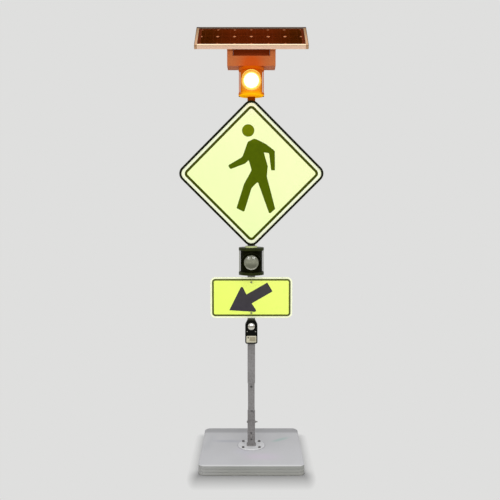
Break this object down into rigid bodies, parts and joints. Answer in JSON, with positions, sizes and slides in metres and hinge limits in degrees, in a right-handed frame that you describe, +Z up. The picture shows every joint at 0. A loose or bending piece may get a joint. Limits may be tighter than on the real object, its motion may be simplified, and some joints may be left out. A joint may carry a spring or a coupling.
{
  "type": "portable pedestrian crossing sign",
  "caption": "Free-standing crossing sign: ballast slab, square mast, push-button station, arrow plaque, diamond walking-figure sign, round beacons and a tilted solar panel.",
  "frame": {"origin": "centre of the ballast slab's underside, on the ground and on the mast's axis", "axes": "+Z up the mast, -Y out of the signs' faces towards the viewer, +X to the viewer's right"},
  "size_m": [1.0702, 0.762, 3.2664],
  "materials": {
    "ballast_rubber": "light grey moulded rubber, satin, fine grain",
    "galvanised_steel": "galvanised square tube, satin grey",
    "cast_flange": "light grey coated plate",
    "zinc_fastener": "zinc plated, slightly dull",
    "sign_aluminium": "mill finish sheet and extrusion",
    "sign_film": "pale fluorescent yellow-green reflective film",
    "plaque_film": "fluorescent yellow-green reflective film",
    "sign_legend": "dark olive overlay film",
    "plaque_legend": "dark grey overlay film",
    "rim_black": "black coated extrusion",
    "beacon_black": "black moulded plastic, satin",
    "beacon_amber": "orange-amber moulded plastic in the lamp's glow",
    "collar_lime": "pale lime moulded plastic",
    "lens_clear": "clear domed lens, unlit",
    "lens_lit": "clear domed lens, lit from behind",
    "reflector_bright": "bright metallised bowl",
    "led_board": "white lamp board",
    "seal_rubber": "black sealing ring",
    "station_black": "black coated casting, satin",
    "button_steel": "turned stainless steel, domed",
    "guide_face": "bare plate, beige and silver fields, no print",
    "spring_steel": "spring wire",
    "switch_body": "black switch block",
    "housing_paint": "orange-brown painted sheet in the lamp's glow",
    "battery_case": "dark battery case",
    "controller_case": "grey controller case",
    "solar_glass": "clear toughened glass",
    "solar_cell": "very dark red-brown cells with fine busbars",
    "backsheet_white": "warm white backsheet",
    "frame_aluminium": "anodised frame, warm champagne"
  },
  "bodies": {
    "sign": {"ballast_slab": "ballast_rubber", "battery_pack": "battery_case", "box_lid": "housing_paint", "bracket_bolts": "zinc_fastener", "button_back_plate": "station_black", "button_housing": "station_black", "button_spring": "spring_steel", "button_switch": "switch_body", "charge_controller": "controller_case", "flange_bolts": "zinc_fastener", "flange_nuts": "zinc_fastener", "floor_flange": "cast_flange", "guide_plate": "guide_face", "inner_mast": "galvanised_steel", "junction_box": "switch_body", "left_cheek": "housing_paint", "lens_gaskets": "seal_rubber", "lower_beacon_bezel": "beacon_black", "lower_beacon_bottom_cap": "beacon_black", "lower_beacon_drum": "beacon_black", "lower_beacon_led_board": "led_board", "lower_beacon_lens": "lens_clear", "lower_beacon_reflector": "reflector_bright", "lower_beacon_top_cap": "beacon_black", "lower_sign_rail": "sign_aluminium", "panel_backsheet": "backsheet_white", "panel_frame": "frame_aluminium", "plaque_arrow": "plaque_legend", "plaque_blank": "sign_aluminium", "plaque_border": "plaque_legend", "plaque_sheeting": "plaque_film", "post_bolts": "zinc_fastener", "post_collar": "collar_lime", "post_nuts": "zinc_fastener", "post_saddle": "galvanised_steel", "power_box": "housing_paint", "rear_panel": "housing_paint", "right_cheek": "housing_paint", "sign_straps": "galvanised_steel", "small_screws": "zinc_fastener", "socket_tube": "galvanised_steel", "solar_cells": "solar_cell", "solar_glass": "solar_glass", "station_screws": "zinc_fastener", "tie_rods": "zinc_fastener", "upper_beacon_bezel": "beacon_amber", "upper_beacon_bottom_cap": "beacon_amber", "upper_beacon_drum": "beacon_amber", "upper_beacon_led_board": "led_board", "upper_beacon_lens": "lens_lit", "upper_beacon_reflector": "reflector_bright", "upper_beacon_top_cap": "beacon_amber", "upper_post": "galvanised_steel", "upper_sign_rail": "sign_aluminium", "walking_figure": "sign_legend", "warning_sign_blank": "sign_aluminium", "warning_sign_border": "sign_legend", "warning_sign_rim": "rim_black", "warning_sign_sheeting": "sign_film"},
    "button": {"push_button": "button_steel"}
  },
  "joints": [
    {"name": "button_press", "type": "slide", "parent": "sign", "child": "button", "axis": [0, 1, 0], "range_m": [0, 0.003], "stiffness_N_per_m": 700, "springref_m": -0.004, "deforming": ["button_spring"]}
  ]
}
